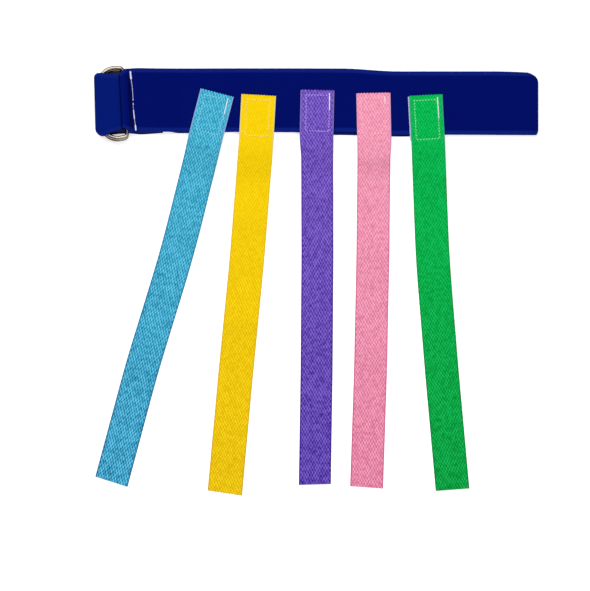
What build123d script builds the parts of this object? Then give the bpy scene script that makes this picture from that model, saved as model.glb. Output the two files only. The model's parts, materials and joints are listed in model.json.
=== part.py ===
"""Tag-game waist belt with five pull-off tails.

A navy loop-tape strap is closed through a pair of D-rings and pressed flat, so that it lies as a
double layer. Five webbing tails are held on its front by sewn hook patches. Millimetres, +Z up.
The origin is on the table, under the middle of the belt's length and width. +X runs along the
belt away from the rings, and the tails lie towards -Y.
"""

import os
from dataclasses import dataclass
from math import cos, radians, sin, tan

from build123d import *

# Belt strap
belt_length = 350.0  # outer length of the closed belt, pressed flat
strap_width = 50.0
strap_thickness = 1.5
layer_gap = 0.2  # clearance between layers that lie on each other
seam_from_end = 115.0  # where the tilted ring end meets the straight rest of the belt
thread_width = 0.7
thread_height = 0.35
stitch_inset = 2.5

# D-rings
ring_inner = 50.8  # clear length of the bar
ring_wire = 3.0
ring_depth = 20.0  # middle of the bar to middle of the far side
ring_flare = 2.4  # how far each arm leans out by the far side
ring_bar_corner = 3.0
ring_shoulder = 13.0
bar_from_end = 24.15  # outer end of the belt to the middle of the bars
front_ring_offset = -1.0  # along the bar, from the middle of the belt
rear_ring_offset = -2.6
front_ring_turn = 4.0  # degrees, seen from above
rear_ring_turn = 3.0
front_ring_lift = 3.0  # degrees that the front ring can lift

# Keeper, the strap end that is folded round the bars and sewn down
keeper_tilt = 4.0
keeper_slack = 0.65
keeper_half_width = 22.6  # where the fold is drawn in between the corners of the rings
keeper_taper = 4.0
keeper_underlap = 16.0  # bars to the sewn end
keeper_fold_radius = 2.2
keeper_crest_past_bar = 0.3  # the fold stays level this far past the bars' far edge
keeper_stitch_from_bar = 6.2

# Threaded end, which goes up through the rings and back round beneath as the tongue
wrap_tilt = 1.5
wrap_shift = -2.6  # the strap is drawn this far sideways where it goes round the rings
wrap_radius = 2.8
wrap_room = 0.5  # above the front ring when it is lifted
pinched_width = 46.0  # between the arms of the rings
pinched_shift = -2.0
rise_from_keeper = 2.2  # middle of the rising strap to the outside of the keeper
rise_lean = 2.0
rise_radius = 2.4
tongue_length = 53.0  # outer end of the belt to the tip of the tongue
tongue_flex_from_end = 9.0
tongue_flex_gap = 0.6  # clearance round the rolled edge where the tongue bends
tongue_corner = 3.0
hook_thickness = 0.9
hook_from_end = 12.0
hook_length = 40.0
hook_margin = 1.0
hook_corner = 2.0
step_length = 20.0  # over which the layers come down past the tip of the tongue
step_radius = 20.0

# Tails
tape_thickness = 1.4
head_length = 38.0  # top edge to the line where the tail bends
tail_flex_gap = 0.45
patch_length = 35.0
patch_from_top = 0.6
stitch_length = 29.0
stitch_width = 19.0
stitch_from_top = 3.6
fall_start = 5.0  # flat stretch past the bend
fall_length = 24.0  # over which the tail comes down from the belt to the table
fall_radius = 22.0
run_bend = 1000.0  # gentle sideways bends along a tail


@dataclass
class Tail:
    """A webbing tail. Leans are in degrees from -Y, towards -X."""

    name: str
    top_x: float  # middle of the top edge
    top_y: float
    width: float
    length: float
    lean: float
    run_leans: tuple  # of the equal runs that follow the head
    patch_shift: float  # of the hook patch, towards +X


tails = (
    Tail("blue", -78.1, 6.4, 26.6, 318.0, 14.6, (14.0, 17.1, 15.0), -0.5),
    Tail("yellow", -45.6, 4.6, 27.4, 315.0, 3.2, (4.5, 5.6, 5.2), 0.0),
    Tail("purple", 1.2, 8.5, 25.2, 311.0, 1.2, (-0.2, 0.4, 0.9), -1.1),
    Tail("pink", 44.6, 6.2, 26.0, 311.0, -1.2, (0.6, 1.2, 1.9), 0.5),
    Tail("green", 86.1, 4.6, 26.6, 312.0, -3.0, (-2.2, -4.7, -5.2), -0.8),
)

# Heights of the middles of the strap's layers and of the rings, from the table up
half = strap_thickness / 2
layer_pitch = 2 * (strap_thickness + layer_gap)
tongue_z = half
hook_z = strap_thickness
back_z = hook_z + hook_thickness + layer_gap + half
underlap_z = back_z + layer_pitch / 2
front_z = back_z + layer_pitch
low_front_z = half + layer_pitch
rear_ring_z = underlap_z + half + layer_gap + ring_wire / 2
front_ring_z = rear_ring_z + ring_wire + layer_gap
keeper_crest_z = front_ring_z + ring_wire / 2 + layer_gap + half
lift = ring_depth * sin(radians(front_ring_lift))
wrap_crest_z = front_ring_z + ring_wire / 2 + lift + wrap_room + half

# Heights of the layers of a tail's head
patch_z = low_front_z + half + layer_gap
tape_z = patch_z + hook_thickness
tape_middle_z = tape_z + tape_thickness / 2
tape_top_z = tape_z + tape_thickness

# Places along the belt
edge = strap_width / 2
left_end = -belt_length / 2
right_end = belt_length / 2
seam_x = left_end + seam_from_end
bar_x = left_end + bar_from_end
keeper_x = bar_x - ring_wire / 2 - keeper_slack - half
keeper_crest_x = bar_x + ring_wire / 2 + keeper_crest_past_bar
keeper_stitch_x = bar_x + keeper_stitch_from_bar
keeper_foot_x = keeper_stitch_x - thread_width / 2 - strap_thickness
rise_x = keeper_x - half - rise_from_keeper
crest_x = rise_x - rise_lean
wrap_x = left_end + half
tongue_flex_x = left_end + tongue_flex_from_end
tongue_tip_x = left_end + tongue_length
step_start_x = tongue_tip_x + layer_gap
step_end_x = step_start_x + step_length
hook_middle_x = left_end + hook_from_end + hook_length / 2
hook_width = strap_width - 2 * hook_margin

os.makedirs("parts", exist_ok=True)


def save(piece, name):
    """Labels a finished piece and writes it as its own file."""
    piece.part.label = name
    export_step(piece.part, f"parts/{name}.step")


def across(tilt):
    """Direction across the belt, towards -Y, when its end is tilted."""
    return Vector(sin(radians(tilt)), -cos(radians(tilt)), 0)


def side_plane(tilt):
    """Upright plane along the belt, beyond its +Y edge, that a tilted end is extruded from."""
    return Plane(
        origin=(-strap_width * tan(radians(tilt)), strap_width, 0), x_dir=(1, 0, 0), z_dir=(0, -1, 0)
    )


def make_straight_end():
    """Both layers of the straight stretch and the fold at the belt's far end."""
    fold_x = right_end - half
    with BuildPart() as straight:
        with BuildSketch(Plane.XZ):
            with BuildLine():
                FilletPolyline(
                    (seam_x, low_front_z),
                    (fold_x, low_front_z),
                    (fold_x, half),
                    (seam_x, half),
                    radius=0.49 * layer_pitch,
                )
            trace(line_width=strap_thickness)
        extrude(amount=edge, both=True)
    return straight.part


def make_keeper_end():
    """Sewn strap end: underlap, fold round both bars, and the front layer as far as the seam."""
    with BuildPart() as keeper:
        with BuildSketch(side_plane(keeper_tilt)):
            with BuildLine():
                FilletPolyline(
                    (bar_x + keeper_underlap, underlap_z),
                    (keeper_x, underlap_z),
                    (keeper_x, keeper_crest_z),
                    (keeper_crest_x, keeper_crest_z),
                    (keeper_foot_x, front_z),
                    (step_start_x, front_z),
                    (step_end_x, low_front_z),
                    (seam_x, low_front_z),
                    radius=(
                        keeper_fold_radius,
                        keeper_fold_radius,
                        strap_thickness,
                        strap_thickness,
                        step_radius,
                        step_radius,
                    ),
                )
            trace(line_width=strap_thickness)
        extrude(amount=2 * strap_width, dir=across(keeper_tilt))
        with BuildSketch():
            with BuildLine():
                Polyline(
                    (seam_x, -edge),
                    (seam_x, edge),
                    (bar_x + keeper_taper, edge),
                    (bar_x, keeper_half_width),
                    (left_end, keeper_half_width),
                    (left_end, -keeper_half_width),
                    (bar_x, -keeper_half_width),
                    (bar_x + keeper_taper, -edge),
                    close=True,
                )
            make_face()
        extrude(amount=2 * keeper_crest_z, mode=Mode.INTERSECT)
    return keeper.part


def make_threaded_end():
    """Back layer from the seam, up through both rings, over their far sides and round beneath."""
    pinch = pinched_width / 2
    with BuildPart() as threaded:
        with BuildSketch(side_plane(wrap_tilt)):
            with BuildLine():
                FilletPolyline(
                    (seam_x, half),
                    (step_end_x, half),
                    (step_start_x, back_z),
                    (rise_x, back_z),
                    (crest_x, wrap_crest_z),
                    (wrap_x, wrap_crest_z),
                    (wrap_x, tongue_z),
                    (tongue_flex_x, tongue_z),
                    radius=(step_radius, step_radius, rise_radius, rise_radius, wrap_radius, wrap_radius),
                )
            trace(line_width=strap_thickness)
            with Locations((tongue_flex_x, tongue_z)):
                Circle(half)
        extrude(amount=2 * strap_width, dir=across(wrap_tilt))
        with BuildSketch():
            with BuildLine():
                Polyline(
                    (seam_x, -edge),
                    (seam_x, edge),
                    (bar_x + keeper_underlap, edge),
                    (bar_x, pinched_shift + pinch),
                    (crest_x, pinched_shift + pinch),
                    (tongue_flex_x, wrap_shift + edge),
                    (left_end - strap_width, wrap_shift + edge),
                    (left_end - strap_width, wrap_shift - edge),
                    (tongue_flex_x, wrap_shift - edge),
                    (crest_x, pinched_shift - pinch),
                    (bar_x, pinched_shift - pinch),
                    (bar_x + keeper_underlap, -edge),
                    close=True,
                )
            make_face()
        extrude(amount=2 * wrap_crest_z, mode=Mode.INTERSECT)
    return threaded.part


def make_belt_strap():
    """The strap, one length of loop tape, from its sewn end to where its tongue bends."""
    stretches = make_straight_end(), make_keeper_end(), make_threaded_end()
    with BuildPart() as strap:
        add(stretches)
    save(strap, "belt_strap")


def make_keeper_stitching():
    """Seam that closes the keeper, as one line of thread on the front layer."""
    with BuildPart() as seam:
        with BuildSketch(Plane.XY.offset(front_z + half)):
            with Locations(Location((keeper_stitch_x, 0), keeper_tilt)):
                Rectangle(thread_width, strap_width - 2 * stitch_inset)
        extrude(amount=thread_height)
    save(seam, "keeper_stitching")


def make_strap_tongue():
    """Free end of the strap, past its bend, under the back layer."""
    with BuildPart() as tongue:
        with BuildSketch(side_plane(wrap_tilt)):
            with BuildLine():
                Line((tongue_flex_x, tongue_z), (tongue_tip_x, tongue_z))
            trace(line_width=strap_thickness)
            with Locations((tongue_flex_x, tongue_z)):
                Circle(half + tongue_flex_gap, mode=Mode.SUBTRACT)
        extrude(amount=2 * strap_width, dir=across(wrap_tilt))
        with BuildSketch():
            with Locations((0, wrap_shift)):
                Rectangle(belt_length, strap_width)
        extrude(amount=strap_thickness, mode=Mode.INTERSECT)
        fillet(tongue.edges().filter_by(Axis.Z).sort_by(Axis.X)[-2:], radius=tongue_corner)
    save(tongue, "strap_tongue")


def make_hook_seam_outline():
    """Closed line of stitches round the belt's hook patch, as a flat frame one thread wide."""
    with BuildSketch(Plane.XY.offset(hook_z + hook_thickness - thread_height)) as outline:
        with Locations((hook_middle_x, wrap_shift)):
            Rectangle(hook_length - 2 * stitch_inset, hook_width - 2 * stitch_inset)
            Rectangle(
                hook_length - 2 * (stitch_inset + thread_width),
                hook_width - 2 * (stitch_inset + thread_width),
                mode=Mode.SUBTRACT,
            )
    return outline.sketch


def make_belt_hook_patch():
    """Hook tape on the tongue, facing the back layer, with a groove that its thread lies in."""
    seam_outline = make_hook_seam_outline()
    with BuildPart() as patch:
        with BuildSketch(Plane.XY.offset(hook_z)):
            with Locations((hook_middle_x, wrap_shift)):
                RectangleRounded(hook_length, hook_width, hook_corner)
        extrude(amount=hook_thickness)
        extrude(seam_outline, amount=thread_height, mode=Mode.SUBTRACT)
    save(patch, "belt_hook_patch")


def make_belt_hook_stitching():
    """Thread that holds the belt's hook patch, flush in its groove."""
    seam_outline = make_hook_seam_outline()
    with BuildPart() as thread:
        extrude(seam_outline, amount=thread_height)
    save(thread, "belt_hook_stitching")


def make_ring(name, offset, turn, height):
    """Wire D-ring with its bar in the keeper and its far side towards the belt's left end."""
    turned = radians(turn)
    place = Plane(
        origin=(bar_x - offset * tan(radians(keeper_tilt)), offset, height),
        x_dir=(cos(turned), sin(turned), 0),
        z_dir=(0, 0, 1),
    )
    bar_half = (ring_inner + ring_wire) / 2
    far_half = bar_half + ring_flare
    with BuildPart() as ring:
        with BuildLine(place):
            path = FilletPolyline(
                (0, bar_half),
                (-ring_depth, far_half),
                (-ring_depth, -far_half),
                (0, -bar_half),
                radius=(ring_bar_corner, ring_shoulder, ring_shoulder, ring_bar_corner),
                close=True,
            )
        with BuildSketch(Plane(origin=path @ 0, z_dir=path % 0)):
            Circle(ring_wire / 2)
        sweep(path=path)
    save(ring, name)


def heading(lean):
    """Direction down a tail that leans by this angle."""
    return Vector(-sin(radians(lean)), -cos(radians(lean)), 0)


def side_of(tail):
    """Upright plane along a tail's head. Its X runs down the tail from the top edge."""
    down = heading(tail.lean)
    return Plane(origin=(tail.top_x, tail.top_y, 0), x_dir=down, z_dir=(down.Y, -down.X, 0))


def top_of(tail, height):
    """Level plane at a tail's top edge. Its X runs down the tail, and its Y points towards +X."""
    return Plane(origin=(tail.top_x, tail.top_y, height), x_dir=heading(tail.lean), z_dir=(0, 0, 1))


def make_tail_head(tail):
    """Sewn top of a tail, flat on its hook patch, with a rounded end where the tail bends."""
    with BuildPart() as head:
        with BuildSketch(side_of(tail)):
            with Locations((head_length / 2, tape_middle_z)):
                Rectangle(head_length, tape_thickness)
            with Locations((head_length, tape_middle_z)):
                Circle(tape_thickness / 2)
        extrude(amount=tail.width / 2, both=True)
    save(head, f"{tail.name}_tail_head")


def make_tail_hook_patch(tail):
    """Hook tape between a tail's head and the belt."""
    with BuildPart() as patch:
        with BuildSketch(top_of(tail, patch_z)):
            with Locations((patch_from_top + patch_length / 2, tail.patch_shift)):
                Rectangle(patch_length, tail.width)
        extrude(amount=hook_thickness)
    save(patch, f"{tail.name}_hook_patch")


def make_tail_stitching(tail):
    """Box of stitches that holds a tail's hook patch."""
    with BuildPart() as thread:
        with BuildSketch(top_of(tail, tape_top_z)):
            with Locations((stitch_from_top + stitch_length / 2, 0)):
                Rectangle(stitch_length, stitch_width)
                Rectangle(
                    stitch_length - 2 * thread_width, stitch_width - 2 * thread_width, mode=Mode.SUBTRACT
                )
        extrude(amount=thread_height)
    save(thread, f"{tail.name}_stitching")


def make_tail_streamer(tail):
    """Rest of a tail: it comes down past the belt's edge and lies along the table."""
    top = Vector(tail.top_x, tail.top_y, 0)
    path = [top, top + heading(tail.lean) * head_length]
    run = (tail.length - head_length) / len(tail.run_leans)
    for lean in tail.run_leans:
        path.append(path[-1] + heading(lean) * run)
    fall_x = head_length + fall_start
    with BuildPart() as streamer:
        with BuildSketch():
            with BuildLine():
                FilletPolyline(path, radius=run_bend)
            trace(line_width=tail.width)
        extrude(amount=tape_top_z)
        with BuildSketch(side_of(tail)):
            with BuildLine():
                FilletPolyline(
                    (head_length, tape_middle_z),
                    (fall_x, tape_middle_z),
                    (fall_x + fall_length, tape_thickness / 2),
                    (tail.length + tail.width, tape_thickness / 2),
                    radius=fall_radius,
                )
            trace(line_width=tape_thickness)
            with Locations((head_length, tape_middle_z)):
                Circle(tape_thickness / 2 + tail_flex_gap, mode=Mode.SUBTRACT)
        extrude(amount=2 * tail.width, both=True, mode=Mode.INTERSECT)
    save(streamer, f"{tail.name}_streamer")


make_belt_strap()
make_keeper_stitching()
make_strap_tongue()
make_belt_hook_patch()
make_belt_hook_stitching()
make_ring("front_d_ring", front_ring_offset, front_ring_turn, front_ring_z)
make_ring("rear_d_ring", rear_ring_offset, rear_ring_turn, rear_ring_z)
for each_tail in tails:
    make_tail_head(each_tail)
    make_tail_hook_patch(each_tail)
    make_tail_stitching(each_tail)
    make_tail_streamer(each_tail)
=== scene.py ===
"""Tag-game waist belt with five pull-off tails: its visible pieces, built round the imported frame.

Lengths are in metres unless a comment says mm, +Z up. The belt lies along X with its rings at the
-X end, and the tails lie towards -Y. Places come from the frame's nodes and joints.
"""

import json
from dataclasses import dataclass
from math import pi, radians

import bpy
import numpy as np
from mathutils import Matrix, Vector


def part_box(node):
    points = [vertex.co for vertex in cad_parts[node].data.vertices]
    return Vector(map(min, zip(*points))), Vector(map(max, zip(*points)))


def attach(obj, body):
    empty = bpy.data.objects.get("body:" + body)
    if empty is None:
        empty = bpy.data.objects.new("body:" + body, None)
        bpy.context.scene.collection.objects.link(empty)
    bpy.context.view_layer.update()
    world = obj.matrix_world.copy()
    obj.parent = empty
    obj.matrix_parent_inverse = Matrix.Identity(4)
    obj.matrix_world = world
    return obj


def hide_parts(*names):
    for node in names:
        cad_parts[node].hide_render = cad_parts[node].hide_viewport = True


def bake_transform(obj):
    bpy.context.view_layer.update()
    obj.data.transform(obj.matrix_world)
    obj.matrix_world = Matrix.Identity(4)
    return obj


bl_info = {
    "name": "Tag Belt",
    "version": (1, 0, 0),
    "blender": (4, 5, 0),
    "location": "View3D > Sidebar > Tag Belt",
    "description": "Builds a hook-and-loop tag belt with D-rings and five webbing tails",
    "category": "Object",
}

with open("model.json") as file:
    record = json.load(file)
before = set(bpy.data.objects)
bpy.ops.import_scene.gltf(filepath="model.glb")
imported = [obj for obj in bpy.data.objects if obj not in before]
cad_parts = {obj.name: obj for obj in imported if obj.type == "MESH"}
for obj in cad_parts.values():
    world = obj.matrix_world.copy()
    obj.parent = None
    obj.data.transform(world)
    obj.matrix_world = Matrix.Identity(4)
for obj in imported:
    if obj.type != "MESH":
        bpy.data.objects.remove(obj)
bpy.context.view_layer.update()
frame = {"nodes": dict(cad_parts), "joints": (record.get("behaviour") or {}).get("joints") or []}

MM = 0.001
HALF_WIDTH = 25 * MM  # of the strap

# The tongue's own piece takes over from the strap this far before its flex. Both pieces have the
# same lean in degrees, half width and sideways place there.
JOIN_BEFORE_FLEX = 5 * MM
JOIN_LIE = (1.5, 24.7 * MM, -2.6 * MM)


@dataclass
class Tail:
    """What sets one tail apart, in mm. A ripple's sideways lift is a share of its height."""

    name: str
    ripples: tuple  # rows of distance down, height, spread and sideways lift
    fray: float  # length of the loose fibres along the cut top edge
    back_tack: tuple  # start and end, down the right-hand line of stitches, of the doubled thread
    bottom_slant: float  # how much further down the cut bottom edge is at its +X corner
    box_drop: float = 0.0  # how much further down the box of stitches ends than in the plain model
    spread: tuple = (0.0, 0.0)  # how much further out the head's two edges lie, at -X and at +X


TAILS = (
    Tail(
        "blue", ((105, 1.6, 14, 0.3), (212, 1.1, 18, -0.3)),
        fray=0.5, back_tack=(-1, 10), bottom_slant=0.6, spread=(0.5, 0),
    ),
    Tail(
        "yellow", ((98, 1.2, 12, -0.2), (178, 1.8, 15, 0.3)),
        fray=0.4, back_tack=(0, 0), bottom_slant=0.8,
    ),
    Tail(
        "purple", ((84, 2.0, 11, 0.2), (186, 1.6, 16, -0.3)),
        fray=1.3, back_tack=(-1, 11), bottom_slant=-0.6, spread=(1.2, 0.3),
    ),
    Tail(
        "pink", ((51, 1.2, 6, 0.7), (122, 1.9, 14, 0.4), (205, 1.2, 17, 0.2)),
        fray=0.6, back_tack=(0, 4), bottom_slant=0.5, spread=(0.3, 0.7),
    ),
    Tail(
        "green", ((66, 1.6, 8, 0.6), (142, 1.4, 15, 0.2)),
        fray=0.3, back_tack=(-1, 14), bottom_slant=0.2, box_drop=2.5,
    ),
)

# Where the middles of the belt's two layers lie off its line, in mm: place along X, front, back.
FRONT, BACK = 1, 2
WANDER = (
    (-150, 0.0, 0.0),
    (-138, 0.7, -1.2),
    (-120, 0.7, -0.9),
    (-105, 0.7, -0.3),
    (-60, 0.8, 0.6),
    (-20, 0.8, 0.4),
    (18, 0.7, -1.8),
    (66, -1.6, -3.0),
    (105, -1.6, -1.6),
    (175, -1.6, -1.9),
)

# The keeper's seam from its top down: start and end as shares of its length, and how thick it shows.
KEEPER_THREAD = (
    (0.0, 0.1, 2.1),
    (0.1, 0.43, 0.55),
    (0.475, 0.48, 0.8),
    (0.555, 0.56, 0.8),
    (0.6, 0.66, 0.35),
    (0.68, 0.8, 1.2),
    (0.8, 0.93, 0.5),
    (0.94, 1.0, 1.7),
)


def linear(code):
    """Linear RGBA of an sRGB hex colour."""
    parts = [int(code[i : i + 2], 16) / 255 for i in (1, 3, 5)]
    return tuple(p / 12.92 if p <= 0.04045 else ((p + 0.055) / 1.055) ** 2.4 for p in parts) + (1.0,)


def ramp(value, start, end):
    """Rises from 0 at start to 1 at end, and stays level outside them."""
    return np.clip((value - start) / (end - start), 0, 1)


def new_object(name, data):
    """A new object in the scene."""
    made = bpy.data.objects.new(name, data)
    bpy.context.scene.collection.objects.link(made)
    return made


def length_property(label, description, millimetres):
    """A length that a user may change."""
    return bpy.props.FloatProperty(
        name=label, description=description, default=millimetres * MM, unit="LENGTH", precision=5
    )


def colour_property(label, description, code):
    """A colour that a user may change."""
    return bpy.props.FloatVectorProperty(
        name=label, description=description, default=linear(code), size=4, subtype="COLOR", min=0, max=1
    )


class StrapSettings(bpy.types.PropertyGroup):
    """Sizes and colours of the belt's strap."""

    selvage: length_property("Selvage", "Width of the bare woven edge beside the pile", 3.0)
    selvage_drop: length_property("Selvage Drop", "How far the bare edge lies below the pile", 0.2)
    corner_pull: length_property("Corner Pull", "How far the folded end is drawn in at its top", 8.0)
    corner_drop: length_property("Corner Drop", "How far the folded end's top edge comes down", 0.9)
    pile: colour_property("Pile", "Brushed loop face", "#000c62")
    # A lighter pile colour for the strap's layers that lie over the rings.
    turned: colour_property("Turned Pile", "Pile opened up where the strap turns over the rings", "#02196f")
    edge: colour_property("Edge", "Bare woven edge", "#0a1d76")


class WebbingSettings(bpy.types.PropertyGroup):
    """Sizes of the tails' weave."""

    pitch_across: length_property("Pitch Across", "Distance between knuckles across the tail", 2.25)
    pitch_along: length_property("Pitch Along", "Distance between rows of knuckles down the tail", 2.1)
    relief: length_property("Relief", "Height of a knuckle above the ground of the weave", 0.3)
    rim: length_property("Rim", "Width of the smooth woven edge", 1.1)


class StitchSettings(bpy.types.PropertyGroup):
    """Sizes of the sewing thread and of the hook tape."""

    pitch: length_property("Pitch", "Distance from one stitch to the next", 2.3)
    stitch: length_property("Stitch", "Length of thread that shows in one stitch", 2.1)
    thread: length_property("Thread", "Thickness of the thread", 0.7)
    hook_spacing: length_property("Hook Spacing", "Distance between hooks", 1.5)
    hook_height: length_property("Hook Height", "Height of a hook above its tape", 0.5)


class StageSettings(bpy.types.PropertyGroup):
    """Camera and lights."""

    centre_x: length_property("Centre X", "Where the camera looks, along the belt", -16.985)
    centre_y: length_property("Centre Y", "Where the camera looks, down the tails", -153.4)
    view_width: length_property("View Width", "Width that the camera takes in at the belt", 466.1)
    camera_height: length_property("Camera Height", "Height of the camera over the table", 8000)


def coordinates(node):
    """A CAD node's vertices, as rows of an array."""
    vertices = frame["nodes"][node].data.vertices
    flat = np.empty(len(vertices) * 3)
    vertices.foreach_get("co", flat)
    return flat.reshape(-1, 3)


def joint_named(name):
    """One joint of the frame, with its place and axis."""
    return next(joint for joint in frame["joints"] if joint["name"] == name)


def add(tree, kind, options=None, inputs=None):
    """Adds a node. An input's value is its default, or the socket that feeds it."""
    node = tree.nodes.new(kind)
    for name, value in (options or {}).items():
        setattr(node, name, value)
    for key, value in (inputs or {}).items():
        if isinstance(value, bpy.types.NodeSocket):
            tree.links.new(value, node.inputs[key])
        else:
            node.inputs[key].default_value = value
    return node


def output_of(tree, kind, inputs):
    """Adds a node and returns its first output."""
    return add(tree, kind, None, inputs).outputs[0]


def new_material(name, settings):
    """A material with a Principled shader, its tree and the shader node."""
    material = bpy.data.materials.new(name)
    material.use_nodes = True
    tree = material.node_tree
    shader = tree.nodes["Principled BSDF"]
    for key, value in settings.items():
        shader.inputs[key].default_value = value
    return material, tree, shader


def mix(tree, factor, first, second):
    """Mixes two colours and returns the result's socket."""
    options = {"data_type": "RGBA"}
    return add(tree, "ShaderNodeMix", options, {0: factor, 6: first, 7: second}).outputs[2]


def noise(tree, scale, detail=3.0):
    """Noise on the piece's own coordinates, at this many cells a metre."""
    place = add(tree, "ShaderNodeTexCoord").outputs["Object"]
    return add(tree, "ShaderNodeTexNoise", None, {"Vector": place, "Scale": scale, "Detail": detail})


def spread_out(tree, value, low, high):
    """Stretches a value from between low and high to between 0 and 1."""
    inputs = {"Value": value, "From Min": low, "From Max": high}
    return add(tree, "ShaderNodeMapRange", None, inputs).outputs["Result"]


def tag(tree, name):
    """A number that the mesh carries at each vertex."""
    return add(tree, "ShaderNodeAttribute", {"attribute_name": name}).outputs["Fac"]


def raise_surface(tree, shader, height, distance, strength=1.0):
    """Feeds a height to the shader as bump, this many metres high."""
    inputs = {"Height": height, "Distance": distance, "Strength": strength}
    tree.links.new(output_of(tree, "ShaderNodeBump", inputs), shader.inputs["Normal"])


def brushed_nylon_loop(settings):
    """Brushed nylon loop tape: a soft dark pile with a faint sheen, between bare woven edges."""
    finish = {"Roughness": 0.9, "IOR": 1.53, "Specular IOR Level": 0.03}
    finish |= {"Sheen Weight": 0.01, "Sheen Roughness": 0.5, "Sheen Tint": linear("#2a3c9c")}
    material, tree, shader = new_material("brushed_nylon_loop", finish)
    tone_share = spread_out(tree, noise(tree, 45.0).outputs[0], 0.3, 0.75)
    pile = mix(tree, tone_share, settings.pile, linear("#000f63"))
    pile = mix(tree, tag(tree, "turned"), pile, settings.turned)
    fibres = noise(tree, 2600.0, 4.0).outputs[0]
    flecked = mix(tree, spread_out(tree, fibres, 0.62, 0.8), pile, linear("#04146c"))
    base = mix(tree, tag(tree, "selvage"), flecked, settings.edge)
    tree.links.new(base, shader.inputs["Base Color"])
    raise_surface(tree, shader, fibres, 0.25 * MM, 0.6)
    return material


def woven_polypropylene(name, tones):
    """Spun webbing: matt, with painted shade in the hollows of the weave, a painted highlight on its
    knuckles, and paler edges that are partly the smooth woven edge and partly a painted highlight.
    """
    finish = {"Roughness": 0.8, "IOR": 1.49, "Specular IOR Level": 0.04}
    material, tree, shader = new_material(f"woven_polypropylene_{name}", finish)
    down = add(tree, "ShaderNodeUVMap", {"uv_map": "cloth"}).outputs[0]
    down = add(tree, "ShaderNodeSeparateXYZ", None, {0: down}).outputs["Y"]
    # The ground colours are painted shade for the weave's hollows, and the knuckle colours are a painted
    # highlight on its knuckles.
    ground = mix(tree, down, linear(tones.ground), linear(tones.low_ground))
    knuckle = mix(tree, down, linear(tones.knuckle), linear(tones.low_knuckle))
    uneven = spread_out(tree, noise(tree, 400.0).outputs[0], 0.1, 0.62)
    # The crown tag, made uneven from knuckle to knuckle by noise, sets how much painted highlight a knuckle
    # gets against the painted shade between knuckles.
    tone_share = add(tree, "ShaderNodeMath", {"operation": "MULTIPLY"}, {0: tag(tree, "crown"), 1: uneven})
    woven = mix(tree, spread_out(tree, tone_share.outputs[0], 0.1, 0.7), ground, knuckle)
    # The rim colour is partly the woven edge's own tone and partly a painted highlight, strongest at the
    # head.
    base = mix(tree, tag(tree, "rim"), woven, linear(tones.rim))
    tree.links.new(base, shader.inputs["Base Color"])
    # Fibres of a spun yarn are finer than can show, so they are drawn about 0.3 mm apart.
    raise_surface(tree, shader, noise(tree, 3200.0, 2.0).outputs[0], 0.1 * MM, 0.5)
    return material


def moulded_nylon_hook(name, code, second_code):
    """Hook tape: stiff moulded nylon, slightly glossy, in two tones."""
    finish = {"Base Color": linear(code), "Roughness": 0.42, "IOR": 1.53}
    material, tree, shader = new_material(f"moulded_nylon_hook_{name}", finish)
    grain = noise(tree, 1400.0).outputs[0]
    base = mix(tree, spread_out(tree, grain, 0.3, 0.8), linear(code), linear(second_code))
    tree.links.new(base, shader.inputs["Base Color"])
    raise_surface(tree, shader, grain, 0.1 * MM, 0.4)
    return material


def bonded_polyester_thread(name, code):
    """Sewing thread: pale, with a slight gloss along its twist."""
    finish = {"Base Color": linear(code), "Roughness": 0.5, "IOR": 1.55}
    material, tree, shader = new_material(f"bonded_polyester_thread_{name}", finish)
    raise_surface(tree, shader, noise(tree, 4000.0).outputs[0], 0.06 * MM, 0.6)
    return material


def nickel_plated_steel():
    """Drawn steel wire, bright nickel plate: a warm grey mirror, dulled by fine handling marks."""
    finish = {"Base Color": linear("#8f867a"), "Metallic": 1.0, "Roughness": 0.15}
    material, tree, shader = new_material("nickel_plated_steel", finish)
    marks = noise(tree, 700.0, 5.0).outputs[0]
    rough = add(tree, "ShaderNodeMapRange", None, {"Value": marks, "To Min": 0.08, "To Max": 0.26})
    tree.links.new(rough.outputs["Result"], shader.inputs["Roughness"])
    raise_surface(tree, shader, marks, 0.03 * MM, 0.4)
    return material


@dataclass
class Tones:
    """Colours of one tail, at its head and at its low end."""

    # ground and low_ground are painted shade in the hollows of the weave; knuckle and low_knuckle are a
    # painted highlight on the knuckles.
    ground: str
    knuckle: str
    low_ground: str
    low_knuckle: str
    rim: str
    thread: str


TONES = {
    "blue": Tones("#1a8cae", "#64cdea", "#00608a", "#66d4fb", "#8fb4e4", "#93def8"),
    "yellow": Tones("#f2c800", "#fbd90c", "#dcaa00", "#ffe01c", "#e9d68c", "#fbe67c"),
    "purple": Tones("#4f31a0", "#8f6fd6", "#2a0f84", "#8768da", "#8378c4", "#c3a8f2"),
    "pink": Tones("#e27f9f", "#ffb2ca", "#d2648a", "#ffaac8", "#e0a0cc", "#ffcbdb"),
    "green": Tones("#00a03c", "#0acb62", "#007e24", "#16c25c", "#3aa788", "#86f2b2"),
}


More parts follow.
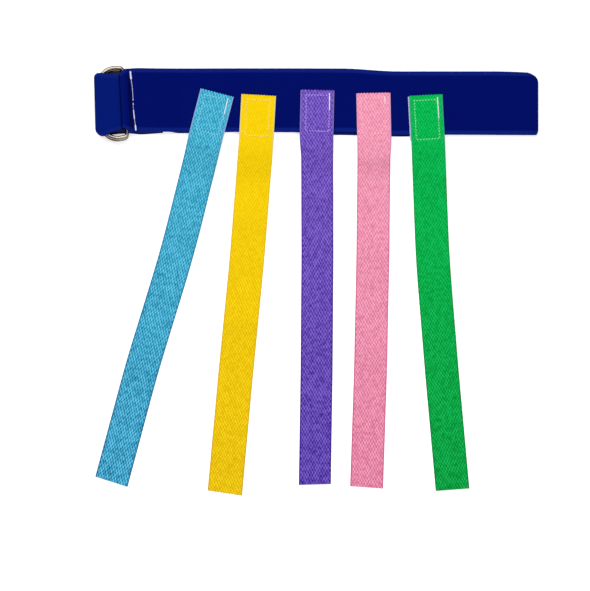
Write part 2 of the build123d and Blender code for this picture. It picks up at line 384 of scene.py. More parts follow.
def make_closed_sheet(name, top, bottom, tags):
    """Joins two grids of points at their borders into one closed mesh that faces outwards."""
    rows, columns = top.shape[:2]
    points = np.concatenate([top.reshape(-1, 3), bottom.reshape(-1, 3)])
    upper = np.arange(rows * columns).reshape(rows, columns)
    lower = upper + rows * columns

    def quads(*corners):
        return np.stack(corners, -1).reshape(-1, 4)

    faces = np.concatenate(
        [
            quads(upper[:-1, :-1], upper[1:, :-1], upper[1:, 1:], upper[:-1, 1:]),
            quads(lower[:-1, :-1], lower[:-1, 1:], lower[1:, 1:], lower[1:, :-1]),
            quads(upper[1:, 0], upper[:-1, 0], lower[:-1, 0], lower[1:, 0]),
            quads(upper[:-1, -1], upper[1:, -1], lower[1:, -1], lower[:-1, -1]),
            quads(upper[0, :-1], upper[0, 1:], lower[0, 1:], lower[0, :-1]),
            quads(upper[-1, 1:], upper[-1, :-1], lower[-1, :-1], lower[-1, 1:]),
        ]
    )
    a, b, c, d = (points[faces[:, i]] for i in range(4))
    volume = (np.cross(a, b) * c).sum() + (np.cross(a, c) * d).sum()
    if volume < 0:
        faces = faces[:, ::-1]
    mesh = bpy.data.meshes.new(name)
    mesh.from_pydata(points.tolist(), [], faces.tolist())
    mesh.polygons.foreach_set("use_smooth", np.ones(len(faces), bool))
    for label, values in tags.items():
        layer = mesh.attributes.new(label, "FLOAT", "POINT")
        layer.data.foreach_set("value", np.tile(values.ravel(), 2).astype(np.float32))
    across, down = np.meshgrid(np.linspace(0, 1, columns), np.linspace(0, 1, rows))
    uv = np.tile(np.stack([across, down], -1).reshape(-1, 2), (2, 1))
    corners = np.empty(len(mesh.loops), int)
    mesh.loops.foreach_get("vertex_index", corners)
    mesh.uv_layers.new(name="cloth").data.foreach_set("uv", uv[corners].ravel())
    return new_object(name, mesh)


def finish_with(piece, material):
    """Gives a piece its one material."""
    piece.data.materials.clear()
    piece.data.materials.append(material)


# Belt strap


@dataclass
class Bend:
    """A corner of the strap's route, seen from its edge, and how the strap lies across there."""

    x: float
    z: float
    radius: float
    tilt: float
    half_width: float = HALF_WIDTH
    shift: float = 0.0


def round_corners(bends, longest=1.5 * MM, turn=radians(14)):
    """Route through the bends with each corner rounded, as rows of x, z, tilt, half width, shift."""
    rows = []

    def run_to(end):
        begin = rows[-1]
        count = max(1, int(np.ceil(np.linalg.norm(end[:2] - begin[:2]) / longest)))
        rows.extend(begin + (end - begin) * i / count for i in range(1, count + 1))

    knots = [np.array([b.x, b.z, b.tilt, b.half_width, b.shift]) for b in bends]
    rows.append(knots[0])
    for before, here, after, bend in zip(knots, knots[1:], knots[2:], bends[1:]):
        back = (before - here)[:2] / np.linalg.norm((before - here)[:2])
        on = (after - here)[:2] / np.linalg.norm((after - here)[:2])
        inner = np.arccos(np.clip(back @ on, -1, 1))
        if bend.radius == 0 or pi - inner < radians(1):
            run_to(here)
            continue
        reach = bend.radius / np.tan(inner / 2)
        start = here.copy()
        start[:2] += back * reach
        run_to(start)
        middle = here[:2] + (back + on) / np.linalg.norm(back + on) * bend.radius / np.sin(inner / 2)
        spoke = start[:2] - middle
        sense = np.sign(on[0] * back[1] - on[1] * back[0])
        count = int(np.ceil((pi - inner) / min(turn, longest / bend.radius)))
        for i in range(1, count + 1):
            angle = sense * (pi - inner) * i / count
            step = here.copy()
            step[0] = middle[0] + spoke[0] * np.cos(angle) - spoke[1] * np.sin(angle)
            step[1] = middle[1] + spoke[0] * np.sin(angle) + spoke[1] * np.cos(angle)
            rows.append(step)
    run_to(knots[-1])
    rows = np.array(rows)
    steps = np.linalg.norm(np.diff(rows[:, :2], axis=0), axis=1)
    return rows[np.concatenate([[True], steps > 1e-7])]


def strap_bends():
    """Route of the strap, from its sewn end round the rings' bars, along the belt and back."""
    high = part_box("belt_strap")[1]
    tongue_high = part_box("strap_tongue")[1]
    seam_low, seam_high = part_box("keeper_stitching")
    rear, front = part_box("rear_d_ring"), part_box("front_d_ring")
    hook_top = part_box("belt_hook_patch")[1].z
    bar = joint_named("front_ring_swing")["pos_m"][0]
    flex = joint_named("tongue_peel")["pos_m"][0]
    thick = tongue_high.z
    half = thick / 2

    # Heights of the layers' middles. One gap fits over the hook tape and on both sides of the rings.
    front_z = seam_low.z - half
    gap = (rear[0].z - half - (hook_top + half + front_z) / 2) / 1.5
    back_z = hook_top + gap + half
    underlap_z = (back_z + front_z) / 2
    apart = front_z - back_z
    low_front_z = half + front_z - back_z
    keeper_z = front[1].z + gap + half
    wrap_z = high.z - half

    # Places along the belt, from its rings to its fold.
    wire = front[1].z - front[0].z
    keeper_room, wrap_room = 0.65 * MM, 0.12 * MM
    keeper_x = bar - wire / 2 - keeper_room - half
    rise = keeper_x - thick - wrap_room
    left = half - high.x
    foot = (seam_low.x + seam_high.x) / 2 - 0.35 * MM - thick
    sewn_end = bar + 16 * MM
    step_start, step_end = tongue_high.x + gap + 4 * MM, tongue_high.x + gap + 15 * MM
    square = -60 * MM  # the strap no longer leans from here to its fold
    fold = high.x - half

    # Radii. The front layer steps down outside the back one, so its bends are wider or tighter.
    turn, soft, end_turn = 1.0 * MM, 38 * MM, 2.8 * MM
    fold_radius = 0.49 * apart
    slope = np.arctan((back_z - half) / (step_end - step_start))
    nudge = apart * np.tan(slope / 2)

    # Lean in degrees, then half width and sideways place where the strap is drawn in or set aside.
    lean, back_lean = 3, 1.5
    in_keeper = (22.1 * MM, 0.5 * MM)
    over_bars = (24.4 * MM, 0.9 * MM)
    under_bars = (22 * MM, -0.6 * MM)
    in_rings = (21.6 * MM, -0.9 * MM)
    round_end = (24.9 * MM, -2.9 * MM)

    keeper = [
        Bend(sewn_end, underlap_z, 0, lean),
        Bend(bar + 4 * MM, underlap_z, 0, lean),
        Bend(keeper_x, underlap_z, turn, lean, *in_keeper),
        Bend(keeper_x, keeper_z, turn, lean, *in_keeper),
        Bend(bar + wire / 2 + 0.3 * MM, keeper_z, thick, lean, *over_bars),
        Bend(foot, front_z, thick, 4, HALF_WIDTH, 0.4 * MM),
    ]
    front_layer = [
        Bend(step_start + nudge, front_z, soft + apart, 3),
        Bend(step_end + nudge, low_front_z, soft - apart, 2),
        Bend(square, low_front_z, 0, 0),
        Bend(fold, low_front_z, fold_radius, 0),
    ]
    back_layer = [
        Bend(fold, half, fold_radius, 0),
        Bend(square, half, 0, 0),
        Bend(step_end, half, soft, back_lean),
        Bend(step_start, back_z, soft, back_lean),
        Bend(sewn_end, back_z, 0, back_lean),
        Bend(bar, back_z, 0, lean, *under_bars),
        Bend(rise, back_z, turn, lean, *in_rings),
    ]
    wrap = [
        Bend(rise, wrap_z, turn, lean, *in_rings),
        Bend(left + 5 * MM, wrap_z, 0, back_lean, *round_end),
        Bend(left, wrap_z, end_turn, back_lean, *round_end),
        Bend(left, half, end_turn, back_lean, *round_end),
        Bend(flex - JOIN_BEFORE_FLEX, half, 0, *JOIN_LIE),
    ]
    return keeper + front_layer + back_layer + wrap


def strap_columns(settings):
    """Places across the strap, as shares of its half width, close together at the bare edges."""
    edge = np.array([0, 0.25, 0.8, 1.8]) * MM
    inner = np.array([settings.selvage, settings.selvage + 0.5 * MM])
    rim = 1 - np.concatenate([edge, inner]) / HALF_WIDTH
    middle = np.linspace(rim[-1], -rim[-1], 20)[1:-1]
    return np.concatenate([rim, middle, -rim[::-1]])


def wander_at(x, column):
    """Sideways place of one layer of the belt, eased from one row of WANDER to the next."""
    table = np.array(WANDER) * MM
    place = np.interp(x, table[:, 0], np.arange(len(table)))
    row = np.minimum(place.astype(int), len(table) - 2)
    share = 0.5 - 0.5 * np.cos(pi * (place - row))
    return table[row, column] * (1 - share) + table[row + 1, column] * share


def near_fold(x):
    """Rises from 0 to 1 over the end of the belt, up to its fold."""
    return ramp(x, 140 * MM, 175 * MM) ** 1.5


def drawn_in(x, share, settings):
    """How far places across the strap are moved towards -X, by its fold and by the rings."""
    top, bottom = ramp(share, 0.6, 1) ** 3, ramp(-share, 0.86, 1) ** 2
    at_fold = near_fold(x) * (settings.corner_pull * top + 1.2 * MM * bottom)
    near_rings = ramp(-x, 164 * MM, 174 * MM)
    upper, lower = ramp(share, 0.88, 1) ** 2, ramp(-share, 0.8, 1) ** 2
    return at_fold - near_rings * (2.5 * upper + 4.0 * lower) * MM


def lay_strap(name, rows, settings, thick):
    """Turns a route into a strap of loop tape with a pile, bare edges and rounded sides."""
    share = strap_columns(settings)[None, :]
    x, z, tilt, half_width, shift = (rows[:, i, None] for i in range(5))
    route = rows[:, :2]
    run = np.concatenate([[0], np.cumsum(np.linalg.norm(np.diff(route, axis=0), axis=1))])
    tangent = np.gradient(route, run, axis=0)
    tangent /= np.linalg.norm(tangent, axis=1)[:, None]
    front = ramp(z, thick, 2 * thick)
    y = shift + share * half_width + front * wander_at(x, FRONT) + (1 - front) * wander_at(x, BACK)
    place_x = x - y * np.tan(np.radians(tilt)) - drawn_in(x, share, settings)
    drop = settings.corner_drop * near_fold(x) * ramp(share, 0.5, 1) ** 2
    from_edge = (1 - np.abs(share)) * HALF_WIDTH
    bare = 1 - ramp(from_edge, settings.selvage, settings.selvage + 0.5 * MM)
    rounding = 0.45 * (1 - ramp(from_edge, 0, 0.6 * MM)) ** 1.5
    # Each face lies this far inside the tape's thickness, which keeps close layers apart.
    clear = 0.02 * MM
    body = (thick / 2 - clear) * (1 - rounding) - settings.selvage_drop * bare * 0.6
    grids = []
    for side in (1, -1):
        grid = np.empty((len(rows), share.shape[1], 3))
        grid[..., 0] = place_x - side * body * tangent[:, 1, None]
        grid[..., 1] = y - drop
        grid[..., 2] = z + side * body * tangent[:, 0, None]
        grids.append(grid)
    # Mask of the strap's layers over the rings, which the material gives a lighter pile colour.
    turned = ramp(-x, 150 * MM, 158 * MM) * ramp(z, 9 * MM, 12 * MM)
    tags = {"selvage": np.tile(bare, (len(rows), 1)), "turned": turned * np.ones_like(share)}
    return make_closed_sheet(name, *grids, tags)


class TAGBELT_OT_strap(bpy.types.Operator):
    """Lays the loop tape through the rings and along the belt, with its tongue beneath"""

    bl_idname = "tag_belt.strap"
    bl_label = "Build Strap"

    def execute(self, context):
        settings = context.scene.tag_belt_strap
        tongue_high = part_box("strap_tongue")[1]
        thick = tongue_high.z
        loop = brushed_nylon_loop(settings)
        rows = round_corners(strap_bends())
        strap = lay_strap("loop_strap", rows, settings, thick)
        finish_with(strap, loop)
        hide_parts("belt_strap")
        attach(strap, "belt")

        flex = Vector(joint_named("tongue_peel")["pos_m"])
        start = flex.x - JOIN_BEFORE_FLEX
        lean, half_width = JOIN_LIE[:2]
        bends = [
            Bend(start, thick / 2, 0, *JOIN_LIE),
            Bend(start + 15 * MM, thick / 2, 0, lean, half_width, -1.2 * MM),
            Bend(tongue_high.x - 0.5 * MM, thick / 2, 0, lean, half_width, 0.4 * MM),
        ]
        rows = round_corners(bends, longest=0.8 * MM)
        tongue = lay_strap("loop_tongue", rows, settings, thick)
        finish_with(tongue, loop)
        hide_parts("strap_tongue")
        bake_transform(tongue)
        return {"FINISHED"}


# Tails


def cut(points, edges, place, direction):
    """Where a CAD mesh's edges cross the plane through place that faces direction."""
    side = (points - place) @ direction
    first, second = side[edges[:, 0]], side[edges[:, 1]]
    crossing = first * second < 0
    share = (first[crossing] / (first[crossing] - second[crossing]))[:, None]
    start, end = points[edges[crossing, 0]], points[edges[crossing, 1]]
    return start + (end - start) * share


def follow_streamer(name, place, direction, step=2 * MM):
    """Middle of a CAD streamer, found by cutting it across again and again down its length."""
    mesh = frame["nodes"][f"{name}_streamer"].data
    points = coordinates(f"{name}_streamer")
    edges = np.array([edge.vertices[:] for edge in mesh.edges])
    middles = []
    while True:
        place = place + direction * step
        section = cut(points, edges, place, direction)
        if len(section) < 4:
            break
        across = np.array([direction[1], -direction[0], 0])
        reach = (section - place) @ across
        middle = place + across * (reach.min() + reach.max()) / 2
        middle[2] = (section[:, 2].min() + section[:, 2].max()) / 2
        if middles:
            heading = (middle - middles[-1]) * (1, 1, 0)
            direction = direction + heading / np.linalg.norm(heading)
            direction /= np.linalg.norm(direction)
        middles.append(middle)
        place = middle
    end = ((points - middles[-1]) @ direction).max()
    middles.append(middles[-1] + direction * end)
    return middles


@dataclass
class Layout:
    """Where a tail's head lies, from its CAD pieces: top edge, bend, directions and sizes."""

    top: np.ndarray
    bend: np.ndarray
    down: np.ndarray
    across: np.ndarray
    width: float
    thick: float
    z: float


def layout_of(name):
    """Reads a tail's layout from its head and its bend."""
    joint = joint_named(f"{name}_tail_bend")
    bend = np.array(joint["pos_m"])
    across = np.array(joint["axis"]) * (1, 1, 0)
    across /= np.linalg.norm(across)
    across *= np.sign(across[0])
    down = np.array([across[1], -across[0], 0])
    points = coordinates(f"{name}_tail_head")
    reach = (points - bend) @ down
    wide = (points - bend) @ across
    z = (points[:, 2].min() + points[:, 2].max()) / 2
    thick = points[:, 2].max() - points[:, 2].min()
    return Layout(bend + down * reach.min(), bend, down, across, np.ptp(wide), thick, z)


def place_on(layout, down, sideways):
    """A place on a tail's head, from the middle of its top edge."""
    return layout.top + layout.down * down + layout.across * sideways


def reach_on(layout, points):
    """Where points lie on a tail's head: nearest and furthest down, then left and right."""
    along = (points - layout.top) @ layout.down
    wide = (points - layout.top) @ layout.across
    return along.min(), along.max(), wide.min(), wide.max()


def tail_path(tail, layout, step):
    """How far down a tail each point of its smoothed middle line lies, and those points."""
    past_bend = 1.5 * MM
    route = follow_streamer(tail.name, layout.bend + layout.down * past_bend, layout.down)
    line = np.array([layout.top, layout.bend, *route])
    line[:2, 2] = layout.z
    steps = np.linalg.norm(np.diff(line, axis=0), axis=1)
    reach = np.concatenate([[0], np.cumsum(steps)])
    down = np.linspace(0, reach[-1], int(reach[-1] / step) + 1)
    centre = np.stack([np.interp(down, reach, line[:, i]) for i in range(3)], -1)
    window = 23
    kernel = np.hanning(window)
    kernel /= kernel.sum()
    for i in range(3):
        padded = np.pad(centre[:, i], window // 2, mode="reflect", reflect_type="odd")
        centre[:, i] = np.convolve(padded, kernel, mode="valid")
    return down, centre


def columns_of(half, weave):
    """Places across a tail, four to a knuckle, with two more at each edge."""
    cell = weave.pitch_across / 4
    count = int((half - 0.3 * MM) / cell)
    inner = np.arange(-count, count + 1) * cell
    return np.concatenate([[-half, -half + 0.15 * MM], inner, [half - 0.15 * MM, half]])


def lay_tail(tail, layout, weave):
    """One length of webbing, woven knuckle by knuckle along its path on the belt and the table."""
    down, centre = tail_path(tail, layout, weave.pitch_along / 4)
    length = down[-1]
    half = layout.width / 2
    v, u = down[:, None], columns_of(half, weave)[None, :]
    lift = np.zeros((v.size, u.size))
    for place, height, spread, sideways in tail.ripples:
        swell = np.exp(-(((v - place * MM) / (spread * MM)) ** 2)) * height * MM
        lift += swell * (1 + sideways * u / half)
    tangent = np.gradient(centre, axis=0)
    tangent /= np.linalg.norm(tangent, axis=1)[:, None]
    side = np.stack([-tangent[:, 1], tangent[:, 0], np.zeros(len(down))], -1)
    side /= np.linalg.norm(side, axis=1)[:, None]
    up = np.cross(tangent, side)
    up *= np.sign(up[:, 2:])

    # Rows of knuckles slip and columns of them sway a little, so that the weave isn't ruled.
    slip = 0.25 * weave.pitch_along * np.sin(u / (6 * MM) + v / (31 * MM))
    sway = 0.15 * weave.pitch_across * np.sin(v / (13 * MM))
    waves = np.cos(2 * pi * (u + sway) / weave.pitch_across) * np.cos(pi * (v + slip) / weave.pitch_along)
    from_edge = half - np.abs(u)
    rim = (1 - ramp(from_edge, weave.rim - 0.5 * MM, weave.rim)) * np.ones_like(v)
    crown = (0.5 + 0.5 * waves) * (1 - rim)
    rounding = 0.5 * (1 - ramp(from_edge, 0, 0.5 * MM)) ** 2
    body = layout.thick / 2 * (1 - rounding) - weave.relief * (1 - crown) * (1 - 0.6 * rim)

    # Both cut ends: the top is scalloped by the weave, and the bottom is cut at a slant.
    scallop = np.exp(-v / (0.7 * MM)) * 0.3 * MM * np.cos(2 * pi * u / weave.pitch_across)
    slant = np.exp(-(length - v) / (9 * MM)) * tail.bottom_slant * MM * u / half
    out = np.where(u < 0, *tail.spread) * MM * (1 - ramp(v, 38 * MM, 52 * MM))
    u = u * (1 + out / half)
    table_clear = 0.05 * MM
    grids = []
    for sign in (1, -1):
        grid = centre[:, None, :] + side[:, None, :] * u[..., None]
        grid = grid + up[:, None, :] * (sign * body)[..., None]
        grid[..., 2] += lift
        grid = grid + tangent[:, None, :] * (slant - scallop)[..., None]
        grid[..., 2] = np.maximum(grid[..., 2], table_clear)
        grids.append(grid)
    # Paler edge colour: partly the smooth woven edge and partly a painted highlight where the head's edges
    # catch light, so it fades out down the tail.
    pale_edge_and_highlight = rim * np.clip(1 - (v - 28 * MM) / (25 * MM), 0.08, 1)
    # crown also tells the material where to paint a highlight on the knuckles and shade between them.
    tags = {"crown": crown, "rim": pale_edge_and_highlight}
    return make_closed_sheet(f"{tail.name}_tail", *grids, tags), length


class TAGBELT_OT_tails(bpy.types.Operator):
    """Weaves the five tails, each one length of webbing from its sewn head to its cut end"""

    bl_idname = "tag_belt.tails"
    bl_label = "Build Tails"

    def execute(self, context):
        weave = context.scene.tag_belt_webbing
        for tail in TAILS:
            name = tail.name
            layout = layout_of(name)
            piece, length = lay_tail(tail, layout, weave)
            finish_with(piece, woven_polypropylene(name, TONES[name]))
            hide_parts(f"{name}_tail_head", f"{name}_streamer")
            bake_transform(piece)
        return {"FINISHED"}


# Stitches, hook tape and loose fibres, by geometry nodes


def new_geometry_tree(name, sockets):
    """An empty geometry tree with named inputs, and its input and output nodes."""
    tree = bpy.data.node_groups.new(name, "GeometryNodeTree")
    tree.interface.new_socket("Geometry", in_out="INPUT", socket_type="NodeSocketGeometry")
    for label, kind in sockets.items():
        tree.interface.new_socket(label, in_out="INPUT", socket_type=f"NodeSocket{kind}")
    tree.interface.new_socket("Geometry", in_out="OUTPUT", socket_type="NodeSocketGeometry")
    return tree, add(tree, "NodeGroupInput").outputs


def close_tree(tree, geometry, material):
    """Ends a geometry tree in real geometry with its material."""
    real = output_of(tree, "GeometryNodeRealizeInstances", {0: geometry})
    painted = add(tree, "GeometryNodeSetMaterial", None, {"Geometry": real, "Material": material})
    add(tree, "NodeGroupOutput", None, {0: painted.outputs[0]})


def random(tree, low, high, seed):
    """A random number for each instance."""
    inputs = {2: low, 3: high, "Seed": seed}
    return add(tree, "FunctionNodeRandomValue", {"data_type": "FLOAT"}, inputs).outputs[1]


def vector(tree, x=0.0, y=0.0, z=0.0):
    """A vector from three numbers or sockets."""
    return output_of(tree, "ShaderNodeCombineXYZ", {0: x, 1: y, 2: z})


def multiply(tree, first, second):
    """The product of two numbers or sockets."""
    options = {"operation": "MULTIPLY"}
    return add(tree, "ShaderNodeMath", options, {0: first, 1: second}).outputs[0]


def points_along(tree, geometry, spacing):
    """Points along a line of edges, this far apart, as a node."""
    line = output_of(tree, "GeometryNodeMeshToCurve", {0: geometry})
    return add(tree, "GeometryNodeCurveToPoints", {"mode": "LENGTH"}, {"Curve": line, "Length": spacing})


def stitch_tree():
    """Short lengths of thread, one after another along a line."""
    sockets = {"Pitch": "Float", "Stitch": "Float", "Thread": "Float", "Material": "Material"}
    tree, given = new_geometry_tree("stitches", sockets)
    places = points_along(tree, given["Geometry"], given["Pitch"])
    shape = add(tree, "GeometryNodeMeshUVSphere", None, {"Segments": 8, "Rings": 6, "Radius": 0.5})
    girth = multiply(tree, given["Thread"], random(tree, 0.85, 1.15, 3))
    reach = multiply(tree, given["Stitch"], random(tree, 0.9, 1.1, 5))
    inputs = {
        "Points": places.outputs["Points"],
        "Instance": shape.outputs[0],
        "Rotation": places.outputs["Rotation"],
        "Scale": vector(tree, girth, girth, reach),
    }
    close_tree(tree, output_of(tree, "GeometryNodeInstanceOnPoints", inputs), given["Material"])
    return tree


def hook_tree():
    """A field of small bent wires on a strip of tape."""
    sockets = {"Length": "Float", "Width": "Float", "Spacing": "Float", "Height": "Float"}
    sockets |= {"Centre": "Vector", "Turn": "Vector", "Material": "Material"}
    tree, given = new_geometry_tree("hooks", sockets)
    counts = []
    for side in ("Length", "Width"):
        options = {"operation": "DIVIDE"}
        shares = add(tree, "ShaderNodeMath", options, {0: given[side], 1: given["Spacing"]})
        counts.append(shares.outputs[0])
    inputs = {"Size X": given["Length"], "Size Y": given["Width"]}
    inputs |= {"Vertices X": counts[0], "Vertices Y": counts[1]}
    field = output_of(tree, "GeometryNodeMeshGrid", inputs)
    radius = multiply(tree, given["Height"], 0.5)
    options = {"mode": "RADIUS"}
    inputs = {"Resolution": 7, "Radius": radius, "Start Angle": radians(-80), "Sweep Angle": radians(250)}
    arc = add(tree, "GeometryNodeCurveArc", options, inputs).outputs[0]
    upright = {"Geometry": arc, "Rotation": (pi / 2, 0, 0), "Translation": vector(tree, 0.0, 0.0, radius)}
    arc = output_of(tree, "GeometryNodeTransform", upright)
    wire = multiply(tree, given["Height"], 0.16)
    ring = output_of(tree, "GeometryNodeCurvePrimitiveCircle", {"Resolution": 4, "Radius": wire})
    inputs = {"Curve": arc, "Profile Curve": ring, "Fill Caps": True}
    hook = output_of(tree, "GeometryNodeCurveToMesh", inputs)
    spun = vector(tree, 0.0, 0.0, random(tree, -0.5, 0.5, 11))
    inputs = {"Points": field, "Instance": hook, "Rotation": spun}
    hooks = output_of(tree, "GeometryNodeInstanceOnPoints", inputs)
    inputs = {"Geometry": hooks, "Translation": given["Centre"], "Rotation": given["Turn"]}
    placed = output_of(tree, "GeometryNodeTransform", inputs)
    joined = add(tree, "GeometryNodeJoinGeometry")
    tree.links.new(placed, joined.inputs[0])
    tree.links.new(given["Geometry"], joined.inputs[0])
    close_tree(tree, joined.outputs[0], given["Material"])
    return tree


def fray_tree():
    """Loose fibres that stand out from a cut edge."""
    sockets = {"Length": "Float", "Spacing": "Float", "Turn": "Float", "Material": "Material"}
    tree, given = new_geometry_tree("fray", sockets)
    places = points_along(tree, given["Geometry"], given["Spacing"]).outputs["Points"]
    inputs = {"Vertices": 4, "Radius Top": 0.02 * MM, "Radius Bottom": 0.09 * MM, "Depth": 1.0}
    fibre = output_of(tree, "GeometryNodeMeshCone", inputs)
    inputs = {0: given["Turn"], 1: random(tree, -0.8, 0.8, 17)}
    leaning = add(tree, "ShaderNodeMath", {"operation": "ADD"}, inputs)
    lifted = random(tree, -pi / 2, -pi / 2 + 0.5, 19)
    reach = multiply(tree, given["Length"], random(tree, 0.4, 1.0, 23))
    inputs = {"Points": places, "Instance": fibre, "Scale": vector(tree, 1.0, 1.0, reach)}
    inputs |= {"Rotation": vector(tree, lifted, 0.0, leaning.outputs[0])}
    close_tree(tree, output_of(tree, "GeometryNodeInstanceOnPoints", inputs), given["Material"])
    return tree


def grow(name, mesh, group, values, body):
    """Runs a geometry tree on a mesh and returns the result as a plain piece, riding on a body."""
    tree = bpy.data.node_groups[group]
    source = new_object(f"{name}_source", mesh)
    modifier = source.modifiers.new("nodes", "NODES")
    modifier.node_group = tree
    for item in tree.interface.items_tree:
        if item.item_type == "SOCKET" and item.in_out == "INPUT" and item.name in values:
            modifier[item.identifier] = values[item.name]
    evaluated = source.evaluated_get(bpy.context.evaluated_depsgraph_get())
    result = bpy.data.meshes.new_from_object(evaluated)
    source.modifiers.remove(modifier)
    bpy.data.objects.remove(source)
    piece = new_object(name, result)
    finish_with(piece, values["Material"])
    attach(piece, body)
    return piece


def line_mesh(points, closed=False):
    """A line through points, as a mesh of edges."""
    mesh = bpy.data.meshes.new("line")
    count = len(points)
    edges = [(i, (i + 1) % count) for i in range(count if closed else count - 1)]
    mesh.from_pydata([tuple(p) for p in points], edges, [])
    return mesh


def slab_mesh(corners, low, high):
    """A flat strip of tape over four corners, with its outer edges eased."""
    middle = sum(corners) / 4
    ease = (high - low) * 0.3
    levels = ((low, 0.985), (low + ease, 1.0), (high - ease, 1.0), (high, 0.985))
    points = []
    for z, share in levels:
        for corner in corners:
            spot = middle + (corner - middle) * share
            points.append((spot[0], spot[1], z))
    faces = [(3, 2, 1, 0), (12, 13, 14, 15)]
    for level in range(3):
        for i in range(4):
            a, b = level * 4 + i, level * 4 + (i + 1) % 4
            faces.append((a, b, b + 4, a + 4))
    mesh = bpy.data.meshes.new("slab")
    mesh.from_pydata(points, [], faces)
    return mesh


def sew(name, points, closed, body, material, settings, thread=1.0, crowding=1.0):
    """A seam along a line, riding on a body; thread thickens it and crowding closes up its stitches."""
    values = {"Pitch": settings.pitch / crowding, "Stitch": settings.stitch}
    values |= {"Thread": settings.thread * thread, "Material": material}
    seam = grow(name, line_mesh(points, closed), "stitches", values, body)
    seam.data.shade_smooth()
    return seam


class TAGBELT_OT_sewing(bpy.types.Operator):
    """Sews the keeper, the tongue's hook patch and the box of stitches on each tail"""

    bl_idname = "tag_belt.sewing"
    bl_label = "Sew Seams"

    def execute(self, context):
        settings = context.scene.tag_belt_stitch
        stitch_tree()
        sink, tail_sink = 0.1 * MM, 0.05 * MM

        low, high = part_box("keeper_stitching")
        white = bonded_polyester_thread("white", "#eceaf2")
        slope = (low.x - high.x) / (high.y - low.y)
        middle = (low + high) / 2
        for number, (start, end, thickness) in enumerate(KEEPER_THREAD, 1):
            spots = []
            for share in np.linspace(start, end, 5):
                y = high.y + (low.y - high.y) * share
                wave = 0.25 * MM * np.sin(y / (5 * MM))
                spots.append((middle.x + (y - middle.y) * slope + wave, y, low.z + sink))
            seam = sew(f"keeper_seam_{number}", spots, False, "belt", white, settings, thickness, 2.0)
            if number == 1:
                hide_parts("keeper_stitching")

        low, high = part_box("belt_hook_stitching")
        navy = bonded_polyester_thread("navy", "#10164a")
        corners = [(low.x, low.y), (high.x, low.y), (high.x, high.y), (low.x, high.y)]
        spots = [(x, y, high.z - sink) for x, y in corners]
        seam = sew("hook_seam", spots, True, "belt_tongue", navy, settings, 0.6)
        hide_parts("belt_hook_stitching")

        for tail in TAILS:
            layout = layout_of(tail.name)
            points = coordinates(f"{tail.name}_stitching")
            level = points[:, 2].min() + tail_sink
            near, far, left, right = reach_on(layout, points)
            inset = settings.thread / 2
            near, far = near + inset, far - inset + tail.box_drop * MM
            left, right = left + inset, right - inset

            def spot(down, sideways):
                place = place_on(layout, down, sideways)
                return place[0], place[1], level

            corners = [spot(near, left), spot(near, right), spot(far, right), spot(far, left)]
            thread = bonded_polyester_thread(tail.name, TONES[tail.name].thread)
            body = f"{tail.name}_tail"
            seam = sew(f"{tail.name}_box_seam", corners, True, body, thread, settings)
            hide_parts(f"{tail.name}_stitching")
            start, end = (value * MM for value in tail.back_tack)
            if end > start:
                line = [spot(near + start, right), spot(near + end, right + 0.2 * MM)]
                sew(f"{tail.name}_back_tack", line, False, body, white, settings, 1.4, 2.0)
        return {"FINISHED"}


class TAGBELT_OT_hooks(bpy.types.Operator):
    """Makes the hook tape behind each tail's head and on the belt's tongue"""

    bl_idname = "tag_belt.hooks"
    bl_label = "Build Hook Tape"

    def execute(self, context):
        settings = context.scene.tag_belt_stitch
        hook_tree()
        pale = moulded_nylon_hook("white", "#d6d8ee", "#8e93b8")
        dark = moulded_nylon_hook("navy", "#02093c", "#0a1450")
        height = settings.hook_height
        margin = 2 * MM  # width of bare tape round the hooks, both sides together
        for tail in TAILS:
            layout = layout_of(tail.name)
            points = coordinates(f"{tail.name}_hook_patch")
            near, far, left, right = reach_on(layout, points)
            spots = ((near, left), (far, left), (far, right), (near, right))
            corners = [place_on(layout, down, sideways) for down, sideways in spots]
            low, high = points[:, 2].min(), points[:, 2].max()
            centre = sum(corners) / 4
            # Half a turn about X points the hooks down, at the belt.
            turned_over = (pi, 0.0, float(np.arctan2(layout.down[1], layout.down[0])))
            values = {"Length": float(far - near) - margin, "Width": float(right - left) - margin}
            values |= {"Spacing": settings.hook_spacing, "Height": height, "Material": pale}
            values |= {"Centre": (centre[0], centre[1], low + height), "Turn": turned_over}
            base = slab_mesh(corners, low + height, high)
            body = f"{tail.name}_tail"
            patch = grow(f"{tail.name}_hook_tape", base, "hooks", values, body)
            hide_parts(f"{tail.name}_hook_patch")

        low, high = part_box("belt_hook_patch")
        for corner in (low, high):
            corner.y += 2 * MM  # the visible tape lies this far towards +Y of its CAD piece
        spots = ((low.x, low.y), (high.x, low.y), (high.x, high.y), (low.x, high.y))
        corners = [np.array(spot) for spot in spots]
        base = slab_mesh(corners, low.z, high.z - height)
        values = {"Length": high.x - low.x - margin, "Width": high.y - low.y - margin}
        values |= {"Spacing": settings.hook_spacing, "Height": height, "Material": dark}
        values |= {"Centre": ((low.x + high.x) / 2, (low.y + high.y) / 2, high.z - height)}
        patch = grow("tongue_hook_tape", base, "hooks", values, "belt_tongue")
        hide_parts("belt_hook_patch")
        return {"FINISHED"}


class TAGBELT_OT_fray(bpy.types.Operator):
    """Adds the loose fibres along the cut top edge of each tail"""

    bl_idname = "tag_belt.fray"
    bl_label = "Fray Cut Edges"

    def execute(self, context):
        fray_tree()
        for tail in TAILS:
            layout = layout_of(tail.name)
            half = layout.width / 2 - 1 * MM
            top = layout.top.copy()
            top[2] = layout.z + 0.2 * MM
            ends = [top - layout.across * half, top + layout.across * half]
            outwards = -layout.down
            turn = float(np.arctan2(outwards[1], outwards[0]) - pi / 2)
            fibres = bpy.data.materials[f"woven_polypropylene_{tail.name}"]
            values = {"Length": tail.fray * MM, "Spacing": 0.3 * MM, "Turn": turn, "Material": fibres}
            slot, body = f"{tail.name}_webbing", f"{tail.name}_tail"
            grow(f"{tail.name}_fray", line_mesh(ends), "fray", values, body)
        return {"FINISHED"}


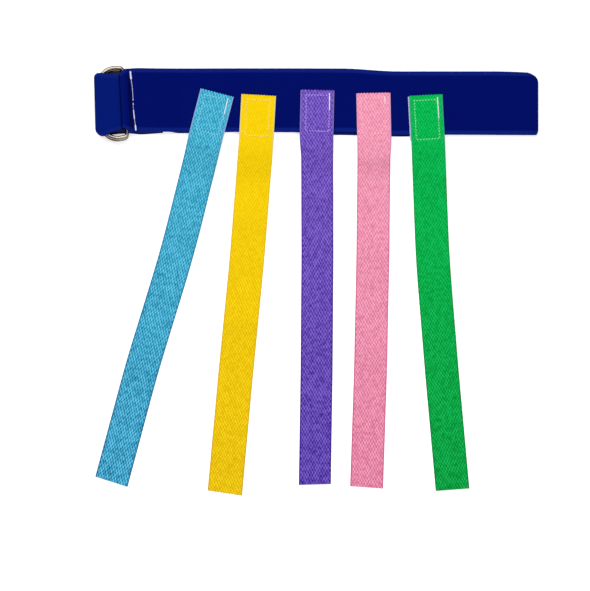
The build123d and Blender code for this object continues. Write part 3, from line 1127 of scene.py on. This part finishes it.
class TAGBELT_OT_rings(bpy.types.Operator):
    """Plates the two wire D-rings"""

    bl_idname = "tag_belt.rings"
    bl_label = "Plate Rings"

    def execute(self, context):
        plated = nickel_plated_steel()
        for name in ("front_d_ring", "rear_d_ring"):
            node = frame["nodes"][name]
            node.data.materials.clear()
            node.data.materials.append(plated)
        return {"FINISHED"}


class TAGBELT_OT_stage(bpy.types.Operator):
    """Sets the white table, the soft lights and the camera overhead"""

    bl_idname = "tag_belt.stage"
    bl_label = "Set Stage"

    def execute(self, context):
        scene = context.scene
        settings = scene.tag_belt_stage
        centre = Vector((settings.centre_x, settings.centre_y, 0))
        camera_data = bpy.data.cameras.new("overhead")
        sensor, belt_height = 36, 5 * MM
        camera_data.sensor_width = sensor
        camera_data.lens = sensor * (settings.camera_height - belt_height) / settings.view_width
        camera = new_object("overhead", camera_data)
        camera.location = centre + Vector((0, 0, settings.camera_height))
        scene.camera = camera

        mesh = bpy.data.meshes.new("table")
        reach = 4.0
        corners = [(-reach, -reach, 0), (reach, -reach, 0), (reach, reach, 0), (-reach, reach, 0)]
        mesh.from_pydata(corners, [], [(0, 1, 2, 3)])
        table = new_object("table", mesh)
        white = {"Base Color": (0.9, 0.9, 0.9, 1), "Roughness": 0.9}
        white |= {"Emission Color": (1, 1, 1, 1), "Emission Strength": 0.5}
        mesh.materials.append(new_material("matt_white_table", white)[0])

        for name, place, size, power in (
            ("key", (-0.4, 1.1, 1.6), 1.4, 28.5),
            ("fill", (0.7, -1.2, 1.8), 1.8, 16.5),
        ):
            light_data = bpy.data.lights.new(name, "AREA")
            light_data.size = size
            light_data.energy = power
            light = new_object(name, light_data)
            light.location = centre + Vector(place)
            light.rotation_euler = (-Vector(place)).to_track_quat("-Z", "Y").to_euler()

        world = bpy.data.worlds.new("soft_room")
        world.use_nodes = True
        tree = world.node_tree
        facing = add(tree, "ShaderNodeTexCoord").outputs["Generated"]
        height = add(tree, "ShaderNodeSeparateXYZ", None, {0: facing}).outputs["Z"]
        sky = mix(tree, spread_out(tree, height, 0.62, 0.97), linear("#2a211a"), (1, 1, 1, 1))
        tree.links.new(sky, tree.nodes["Background"].inputs["Color"])
        tree.nodes["Background"].inputs["Strength"].default_value = 0.75
        scene.world = world
        scene.view_settings.view_transform = "Standard"
        return {"FINISHED"}


class TAGBELT_PT_sidebar(bpy.types.Panel):
    """Lists the steps that build the belt"""

    bl_idname = "TAGBELT_PT_sidebar"
    bl_label = "Tag Belt"
    bl_space_type = "VIEW_3D"
    bl_region_type = "UI"
    bl_category = "Tag Belt"

    def draw(self, context):
        for operator in OPERATORS:
            self.layout.operator(operator.bl_idname)


SETTINGS = {
    "tag_belt_strap": StrapSettings,
    "tag_belt_webbing": WebbingSettings,
    "tag_belt_stitch": StitchSettings,
    "tag_belt_stage": StageSettings,
}
OPERATORS = (
    TAGBELT_OT_stage,
    TAGBELT_OT_strap,
    TAGBELT_OT_tails,
    TAGBELT_OT_sewing,
    TAGBELT_OT_hooks,
    TAGBELT_OT_fray,
    TAGBELT_OT_rings,
)


def register():
    for kind in (*SETTINGS.values(), *OPERATORS, TAGBELT_PT_sidebar):
        bpy.utils.register_class(kind)
    for name, kind in SETTINGS.items():
        setattr(bpy.types.Scene, name, bpy.props.PointerProperty(type=kind))


def unregister():
    for name in SETTINGS:
        delattr(bpy.types.Scene, name)
    for kind in (TAGBELT_PT_sidebar, *reversed(OPERATORS), *reversed(SETTINGS.values())):
        bpy.utils.unregister_class(kind)


def main():
    """Builds the belt."""
    register()
    for operator in OPERATORS:
        step = operator.bl_idname.split(".")[1]
        getattr(bpy.ops.tag_belt, step)()


if __name__ == "__main__":
    main()
